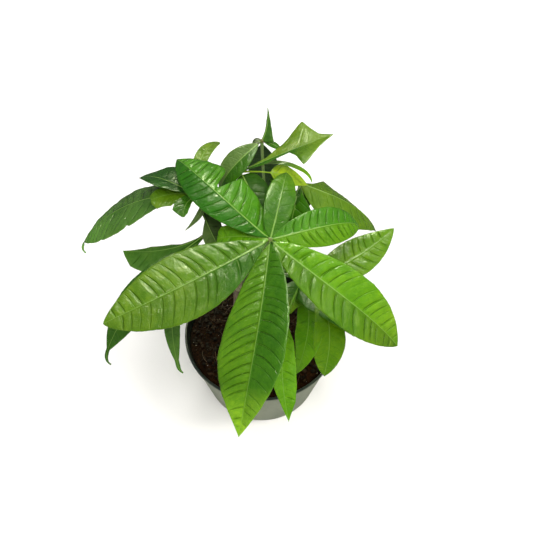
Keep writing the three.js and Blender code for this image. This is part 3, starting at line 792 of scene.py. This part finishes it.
LEAVES = {}
LEAVES["leaf_a"] = leaf(
    0.6, ((4, 4, 204), (12, 0, 238)), (8, -12, 236),
    leaflet(214, 152, 60, -4, 17, sway=-18, roll=-11, widest=0.53, base=(0.88, 0.8), full=0.72, fold=5,
        stalk=0.025, green=("deep", "bright"), light=(0.72, 0.82), tip_green="fresh", tip_light=0.95,
        tip_start=0.3, pleats=(0.8, 1.2), spacing=9.5, lean=0.12),
    leaflet(266, 167, 67, 3, 35, sway=-9, roll=29, twist=9, widest=0.63, base=(0.55, 0.52), full=1.01,
        fold=14, stalk=0.025, green=("deep", "bright"), light=0.98, tip_green="lime", tip_light=2.3,
        tip_start=0.78, pleats=(0.6, 1.5), spacing=8.5),
    leaflet(317, 148, 49, -8, 51, sway=33, roll=10, twist=16, widest=0.57, base=0.55, full=0.84, fold=19,
        stalk=0.025, light=(1.42, 0.92), tip_green="fresh", tip_light=0.85, tip_start=0.6,
        pleats=(1.3, 1.4), lean=0.12),
    leaflet(4, 97, 33, 16, 73, sway=45, roll=20, twist=16, widest=0.51, base=(0.6, 0.7), full=0.67, fold=1,
        stalk=0.025, green=("deep", "bright"), light=(1.35, 1.2), pleats=(0.7, 1.5), spacing=7.5),
    leaflet(73, 76, 25, 30, 59, sway=11, roll=11, widest=0.5, base=0.5, full=0.77, fold=5, stalk=0.025,
        green="deep", light=0.92, tip_green="bright", tip_light=1.15, pleats=0.15, spacing=8),
    leaflet(148, 133, 47, 26, 61, sway=-33, roll=4, twist=-19, widest=(0.48, 0.41), base=(0.84, 0.7),
        full=0.79, sides=(0.8, 1.2), fold=-7, stalk=0.025, tear=(-1, 0.485, 0.82, 0.012, 0.075),
        green=("vivid", "deep"), light=(0.72, 1.36), pleats=(0.8, 1.3)),
    leaflet(168, 47, 24, 2, 34, roll=-10,
        edges=({0: 10, 30: 80, 60: 100, 90: 80, 100: 30}, {0: 10, 30: 70, 70: 100, 93: 95, 100: 60}),
        light=1.35, pleats=0.6),
)
LEAVES["leaf_b"] = leaf(
    0.97, ((8, 64, 188), (1, 95, 200)), (1, 87, 252),
    leaflet(55, 30, 24, 38, 0, sway=45,
        edges=({0: 8, 30: 8, 60: 12, 100: 2}, {0: 30, 10: 92, 25: 60, 50: 29, 75: 11, 100: 2}),
        green="dull", light=0.8, pleats=0.2),
    leaflet(226, 64, 34, -6, 76, sway=-28, roll=-8, widest=(0.55, 0.5), full=0.85, sides=(0.8, 0.72),
        fold=20, green=("deep", "grey"), light=(0.75, 1.2), pleats=0.12, spacing=7),
    leaflet(345, 18, 8, -6, 25, full=0.6, green="dull"),
    leaflet(180, 9, 9, 0, 40, full=0.4, green="grey", light=0.35),
    leaflet(84, 84, 30, -72, 12, full=0.7, green="vivid", light=0.3, pleats=0.4),
)
LEAVES["leaf_c"] = leaf(
    0.88, ((-14, 40, 200), (-20, 58, 212)), (-18, 66, 235),
    leaflet(4, 88, 56, 28, 14, sway=10, roll=-14, fold=14, wave=0.05,
        edges=({0: 4, 30: 13, 46: 45, 60: 76, 75: 110, 87: 30, 100: 0},
               {0: 4, 25: 19, 54: 12, 60: 50, 65: 120, 83: 50, 100: 0}), green=("lime", "deep"),
        light=(0.8, 0.9), tip_green="lime", pleats=0.1, spacing=10),
    leaflet(0, 64, 24, 4, 46, stalk=0.42, widest=0.62, green="yellow", light=1.3, pleats=0.3),
    leaflet(36, 73, 5, 8, 23, sway=-86, curl=65, full=0.6, green="grey", light=2.2, tip_green="olive",
        pleats=0.1),
    leaflet(297, 66, 34, -12, 34, widest=0.45, base=(0.35, 0.7), full=0.7, green="dark", light=0.9,
        pleats=0.3),
)
LEAVES["leaf_d"] = leaf(
    0.73, ((-24, 24, 212), (-42, 38, 234)), (-55, 43, 228),
    leaflet(153, 163, 60, -19, 41, sway=42, roll=-4, twist=22, base=(1.07, 0.85), full=0.8, fold=-3,
        curl=20, tail=0.08, hook=150, lift=60, notches=((1, 0.45, 0.1), (-1, 0.66, 0.1), (1, 0.68, 0.05)),
        green="sage", light=0.95, tip_light=1.7, pleats=(0.6, 0.9)),
    leaflet(147, 76, 34, 8, 55, sway=-6, roll=8, twist=6, widest=0.5, sides=(0.75, 1.3), fold=12,
        green="vivid", light=0.46, pleats=0.25),
    leaflet(146, 46, 30, -13, 5, sway=50,
        edges=({0: 20, 30: 60, 50: 100, 90: 90, 100: 40}, {0: 20, 35: 60, 70: 75, 90: 60, 100: 30}),
        green="fresh", light=0.85, pleats=0.3, spacing=7),
    leaflet(216, 27, 20, 20, 54, sway=56,
        edges=({0: 10, 30: 30, 60: 45, 85: 40, 100: 10},
               {0: 30, 30: 75, 42: 85, 60: 100, 80: 100, 100: 10}), green="deep", pleats=0.5, spacing=5),
    leaflet(98, 90, 14, 10, 46, sway=-38, full=0.5, green="lime", light=0.8, pleats=0.3),
    leaflet(312, 48, 8, 28, 65, sway=-109, roll=25, green="grey", light=0.8, pleats=0.1),
    leaflet(285, 49, 20, -8, 25, sway=18,
        edges=({0: 10, 30: 80, 50: 130, 75: 105, 100: 50}, {0: 10, 30: 10, 50: 10, 75: 90, 100: 100}),
        green="grey", light=(0.35, 0.75), pleats=0.3),
)
LEAVES["leaf_e"] = leaf(
    0.43, ((-24, 18, 184), (-38, 25, 198)), (-52, 29, 190),
    leaflet(176, 84, 40, -39, -42, sway=-3, fold=-2,
        edges=({0: 10, 25: 12, 50: 100, 70: 110, 88: 80, 97: 25, 100: 0},
               {0: 10, 30: 12, 45: 30, 70: 34, 90: 10, 100: 0}), green="sage", light=0.95, pleats=0.4,
        spacing=8),
    leaflet(222, 152, 33, -2, 62, sway=7, fold=8, curl=10, tail=0.09, hook=110, lift=70, green="dull",
        light=0.72, pleats=0.5),
    leaflet(230, 132, 17, -13, 50, sway=64, roll=20, tail=0.06, hook=40, lift=50, green="sage", light=0.9,
        pleats=0.3),
)
LEAVES["leaf_f"] = leaf(
    0.27, ((0, -2, 172), (24, -6, 146)), (37, -3, 166),
    leaflet(14, 99, 37, 11, 0, sway=30, roll=5, twist=7, widest=0.5, full=0.85, fold=6, green="olive",
        light=1.3, pleats=0.5, spacing=8),
    leaflet(322, 84, 60, 6, 44,
        edges=({0: 20, 20: 60, 50: 80, 80: 50, 100: 0}, {0: 20, 10: 65, 25: 78, 50: 68, 80: 50, 100: 0}),
        green="deep"),
    leaflet(242, 132, 25, 3, 53, sway=46, roll=2,
        edges=({0: 6, 34: 12, 48: 82, 63: 100, 77: 95, 88: 70, 100: 0},
               {0: 6, 30: 10, 50: 70, 65: 85, 75: 70, 87: 35, 100: 0}), light=1.6, pleats=0.4),
    leaflet(289, 87, 30, -4, 52, sway=-51, roll=25, widest=0.55, base=(0.7, 0.4), sides=(1, 0.8),
        light=1.35, pleats=0.5),
    leaflet(315, 103, 30, 12, 101, sway=-75, roll=-14, twist=-7, fold=7, green="olive", light=1.5,
        pleats=0.25),
    leaflet(250, 34, 34, 2, 20,
        edges=({0: 30, 30: 90, 55: 70, 80: 25, 100: 5}, {0: 30, 30: 90, 60: 100, 90: 80, 100: 50}),
        green="deep", tip_green="lime", pleats=0.4),
    leaflet(127, 60, 40, 8, 22, full=0.6, green="deep", light=0.8, pleats=0.4),
)
LEAVES["leaf_h"] = leaf(
    0.8, ((14, 34, 186), (32, 66, 190)), (36, 80, 205),
    leaflet(352, 108, 52, -18, 55, sway=20, roll=2, twist=-20, fold=-12,
        edges=({0: 5, 13: 35, 27: 98, 38: 72, 60: 68, 80: 52, 100: 0},
               {0: 5, 10: 50, 20: 90, 35: 110, 60: 90, 80: 50, 100: 0}), green="fresh", light=0.78,
        pleats=0.3),
    leaflet(288, 26, 18, -30, 60, green="dark"),
    leaflet(252, 58, 34, -38, 30, sides=(1.3, 1), green="deep"),
    leaflet(172, 29, 22, 12, 30, green="dark"),
)

BLADE_THICKNESS, STALK_THICKNESS = 0.5, 2.0
STALK_WIDTH, LEAST_WIDTH = 2.4, 0.35
RIB_AT_HUB, RIB_AT_TIP = 0.95, 0.22
RIB_ABOVE, RIB_BELOW = 0.22, 0.75
ROW_SPACING, LEAST_ROWS = 0.9, 24
RIB_COLUMNS, BLADE_COLUMNS = 4, 15
NOTCH_SPREAD, EDGE_CRINKLE = 0.012, 0.012
# Side veins curve towards the tip and wander by a share of their spacing.
VEIN_CURVE, VEIN_WANDER, PILLOW_HEIGHT = 0.35, 0.48, 1.35
# Added to a blade's seed for its edge, veins, pleats, the pleats' reach, swells and margin.
EDGE_SEED, VEIN_SEED, PLEAT_SEED, REACH_SEED, SWELL_SEED, MARGIN_SEED = 40, 8, 130, 150, 90, 60


def outline(shape, share, side):
    """Half width at a share of the length, as a part of half the greatest width."""
    pick = int(side < 0)
    if shape.edges:
        places, widths = np.array(list(shape.edges[pick].items())).T / 100
        return np.interp(share, places, widths)
    widest = shape.widest[pick]
    along = np.clip((share / (1 - shape.tail) - shape.stalk) / (1 - shape.stalk), 0, 1)
    # The power that puts the sine's top at the widest place.
    power = math.log(0.5) / math.log((widest - shape.stalk) / (1 - shape.stalk))
    lean = np.where(along ** power < 0.5, shape.base[pick], shape.full)
    width = shape.sides[pick] * np.sin(math.pi * along ** power) ** lean
    if shape.tear and shape.tear[0] == side:
        _, at, depth, hubward, tipward = shape.tear
        spread = np.where(share < at, hubward, tipward)
        width = width * (1 - depth * hump(share, at, spread))
    for notch_side, at, depth in shape.notches:
        if notch_side == side:
            width = width * (1 - depth * hump(share, at, NOTCH_SPREAD))
    return width


def midrib(shape, hub, rows):
    """Along the midrib: shares of its length, points, and the ways across and out of the blade."""
    share = np.linspace(0, 1, rows + 1)

    def frame_at(s):
        hooked = np.clip((s - 1) / max(shape.tail, 0.001) + 1, 0, 1)
        heading = np.radians(shape.heading + shape.sway * s + shape.hook * hooked)
        curl = shape.curl * np.clip((s - CURL_START) / (1 - CURL_START), 0, None) ** CURL_POWER
        pitch = np.radians(shape.rise - shape.droop * s ** DROOP_POWER - curl + shape.lift * hooked)
        level = np.cos(pitch)
        return heading, np.stack([level * np.cos(heading), level * np.sin(heading), np.sin(pitch)], 1)

    _, halfway = frame_at((share[:-1] + share[1:]) / 2)
    points = np.asarray(hub, float) + np.vstack([[0, 0, 0], np.cumsum(halfway * shape.length / rows, 0)])
    heading, ahead = frame_at(share)
    level = np.stack([-np.sin(heading), np.cos(heading), 0 * heading], 1)
    tilt = np.radians(shape.roll + shape.twist * share)[:, None]
    across = level * np.cos(tilt) + np.cross(ahead, level) * np.sin(tilt)
    return share, points, across, np.cross(ahead, across)


def blade_lines(shape, share, seed):
    """Lines of points along a blade, from its right edge to its left: the side, the line's place
    as a share of the half width, the half width, and half the midrib's width."""
    half_stalk = np.maximum(STALK_WIDTH * np.exp(-share / shape.stalk), LEAST_WIDTH) / 2
    lines = []
    for side in (-1, 1):
        width = np.maximum(shape.width / 2 * outline(shape, share, side), half_stalk)
        if shape.tail:
            narrower = np.clip((1 - share) / shape.tail, 0.2, 1) ** 0.6
            width = np.maximum(width, TAIL_WIDTH / 2 * narrower)
        crinkle = ripple(seed + EDGE_SEED + side, share * shape.length * 0.45)
        width = width * (1 + EDGE_CRINKLE * crinkle)
        rib = np.minimum(lerp(RIB_AT_HUB, RIB_AT_TIP, share), width * 0.35)
        start = rib / width
        on_rib = np.linspace(0, 1, RIB_COLUMNS + 1)[:, None] * start
        beyond = start + (1 - start) * (np.arange(1, BLADE_COLUMNS + 1) / BLADE_COLUMNS)[:, None]
        # The midrib's own line comes once, with the right side.
        places = np.vstack([on_rib, beyond])
        places = places[::-1] if side < 0 else places[1:]
        lines.extend((side, t, width, rib) for t in places)
    return lines


def blade_faces(rows, span):
    """Faces of a closed sheet: its upper points in rows from hub to tip, then as many lower ones."""
    under = (rows + 1) * span
    tip = rows * span
    faces = []
    for right in range(0, tip, span):
        left = right + span - 1
        for a in range(right, left):
            b = a + span
            faces.append((a, b, b + 1, a + 1))
            faces.append((under + a, under + a + 1, under + b + 1, under + b))
        faces.append((right, under + right, under + right + span, right + span))
        faces.append((left + span, under + left + span, under + left, left))
    for k in range(span - 1):
        faces.append((k, k + 1, under + k + 1, under + k))
        faces.append((tip + k, under + tip + k, under + tip + k + 1, tip + k + 1))
    return faces


def blade_tint(shape, on_blade):
    """Each half's green, which blends into the tip's."""
    blend = share_of(on_blade[:, :1] - shape.tip_start, 0.25)
    halves = []
    for green, light in zip(shape.green, shape.light):
        # light and tip_light paint light and shade into the green.
        tip = linear(GREENS[shape.tip_green or green]) * shape.tip_light
        halves.append(lerp(linear(GREENS[green]), tip, blend) * light)
    return np.where(on_blade[:, 1:2] > 0, *halves)


def add_blade(parts, shape, hub, seed):
    rows = max(LEAST_ROWS, round(shape.length / ROW_SPACING))
    share, centres, across, out = midrib(shape, hub, rows)
    near_hub = np.exp(-share / shape.stalk)
    fold = math.radians(shape.fold)
    along = share * shape.length
    upper, lower, on_blade, on_vein, ribs = [], [], [], [], []
    for side, t, width, rib in blade_lines(shape, share, seed):
        distance = t * width
        slant = along - shape.lean * distance - VEIN_CURVE * distance ** 2 / (shape.width / 2)
        wander = VEIN_WANDER * ripple(seed + VEIN_SEED + side, slant * 0.09)
        passed = slant / shape.spacing + wander + 0.5 * (side > 0)

        # Pillows of uneven strength, none at the midrib, the edge, the hub or a narrow place.
        uneven = np.clip(0.85 + 1.1 * ripple(seed + PLEAT_SEED + side, slant * 0.16), 0.1, 1.8)
        strength = shape.pleats[side < 0] * uneven
        pillow = PILLOW_HEIGHT * (np.abs(np.sin(math.pi * passed)) ** 0.45 - 0.7)
        reach = 0.42 + 0.12 * ripple(seed + REACH_SEED + side, slant * 0.2)
        grow = share_of(distance - rib, 3.0) * share_of(1 - t, reach) ** 0.8
        size = share_of(width, 9) * share_of(share, 0.12)
        pleat = strength * pillow * grow * size

        swells = 0.5 * ripple(seed + SWELL_SEED, along * 0.06, side * distance * 0.09)
        swells = swells * share_of(distance, 10)
        wavy = 0.5 * ripple(seed + MARGIN_SEED + side, along * 0.13) * t ** 3 * share_of(width, 12)
        margin = t ** 2 * width
        turn = WAVES_PER_LEAFLET * share + 0.5 * (side > 0)
        height = t * width * math.sin(fold) - CUP * margin
        height = height + shape.wave * margin * np.sin(TAU * turn) + pleat + swells + wavy
        middle = centres + across * (side * distance * math.cos(fold))[:, None] + out * height[:, None]

        thin = BLADE_THICKNESS * (1 - 0.55 * share_of(t - 0.8, 0.2))
        half = (thin + (STALK_THICKNESS - BLADE_THICKNESS) * near_hub * (1 - 0.6 * t ** 2)) / 2
        dome = np.sqrt(np.clip(1 - share_of(distance, np.maximum(rib, 0.05)) ** 2, 0, 1))
        above = half + RIB_ABOVE * dome * (1 - 0.6 * share)
        below = half + RIB_BELOW * dome * (1 - 0.7 * share) * share_of(width, 6)
        upper.append(middle + out * above[:, None])
        lower.append(middle - out * below[:, None])
        shown = np.clip(strength / 0.5, 0.25, 1.2) * grow * size
        on_blade.append(np.stack([share, side * t, side * distance], 1))
        on_vein.append(np.stack([passed + 20, shown, 0 * share], 1))
        ribs.append(rib)
    top, bottom, on_blade, on_vein = (
        np.stack(values, 1).reshape(-1, 3) for values in (upper, lower, on_blade, on_vein))
    rib_width = np.stack(ribs, 1).reshape(-1)
    tint = blade_tint(shape, on_blade)
    parts.add(
        np.concatenate([top, bottom]), blade_faces(rows, len(upper)),
        blade=np.tile(on_blade, (2, 1)),
        vein=np.concatenate([on_vein, on_vein * (1, 1, 0) + (0, 0, 1)]),
        rib=np.tile(rib_width, 2), tint=np.tile(tint, (2, 1)),
    )


# Ribs are (height, how many).
PETIOLE_ROWS, PETIOLE_SIDES, PETIOLE_RADIUS, PETIOLE_RIBS = 60, 20, 1.35, (0.05, 5)
PETIOLE_BASE, PETIOLE_GREEN = (0.15, 0.22, 0.06), (0.21, 0.33, 0.09)
KNOT_LENGTH, KNOT_RADIUS, KNOT_SIDES, KNOT_RIBS = 2.0, 1.9, 28, (0.18, 7)
KNOT_TINT = (0.15, 0.16, 0.045)


def even_ribs(height, count):
    def ridges(row, angles):
        return height * np.sin(count * angles)
    return ridges


def petiole(shape):
    """The leaf's stalk, thicker at both ends, and the knot that its leaflets spread from."""
    parts = Parts()
    start = bezier(SHOOT, SHOOT_PLACES + 1)[round(shape.shoot_share * SHOOT_PLACES)]
    path = bezier((start, *shape.bends, shape.hub), PETIOLE_ROWS)
    share = np.linspace(0, 1, PETIOLE_ROWS)
    radii = PETIOLE_RADIUS + 0.55 * np.exp(-share / 0.07) + 0.45 * np.exp(-(1 - share) / 0.06)
    points, faces = tube(path, radii, PETIOLE_SIDES, even_ribs(*PETIOLE_RIBS))
    along = np.repeat(share, PETIOLE_SIDES)[:, None]
    parts.add(points, faces, tint=lerp(PETIOLE_BASE, PETIOLE_GREEN, along))
    ahead = unit(path[-1] - path[-2])
    domes = np.linspace(-0.98, 0.98, 13)
    knot = [np.array(shape.hub) + ahead * KNOT_LENGTH * d for d in domes]
    radii = KNOT_RADIUS * np.sqrt(1 - domes ** 2)
    points, faces = tube(knot, radii, KNOT_SIDES, even_ribs(*KNOT_RIBS))
    parts.add(points, faces, tint=KNOT_TINT)
    return parts


def make_leaves(blade_material, skin_material):
    for number, (name, shape) in enumerate(LEAVES.items()):
        blades = Parts()
        for k, one in enumerate(shape.leaflets):
            # A seed of its own for every blade.
            add_blade(blades, one, shape.hub, 100 * number + 11 * k + 1)
        finish_piece(blades.build(f"{name}_blades", blade_material), "leaf", name)
        finish_piece(petiole(shape).build(f"{name}_petiole", skin_material), "leaf", name)


# ---- The scene ----
def make_floor():
    bpy.ops.mesh.primitive_circle_add(vertices=FLOOR_SIDES, radius=FLOOR_RADIUS, fill_type="NGON")
    floor = bpy.context.object
    floor.name = "floor"
    floor.data.materials.append(floor_material())
    floor.visible_glossy = False


make_camera()
make_lights()
make_floor()
make_pot(pot_material())
make_trunk(bark_material())
make_soil(soil_material())
crumb = tinted_material("soil_crumb", scale=900.0, depth=0.0006, roughness=0.9)
scatter_lumps("soil_crumbs", seed=71, count=900, sizes=(0.7, 2.6), tints=CRUMB_BROWNS, sink=0.35,
              material=crumb)
scatter_lumps("pale_bits", seed=72, count=70, sizes=(0.35, 0.9), tints=BIT_TINTS, sink=0.2,
              material=crumb)
fibre = tinted_material("soil_fibre", scale=1200.0, depth=0.0001, roughness=0.85)
scatter_fibres("soil_fibres", seed=73, count=170, lengths=(7, 24), radii=(0.14, 0.34),
               tints=FIBRE_BROWNS, material=fibre)
skin = stem_material()
make_shoot(skin)
make_leaves(leaf_material(), skin)
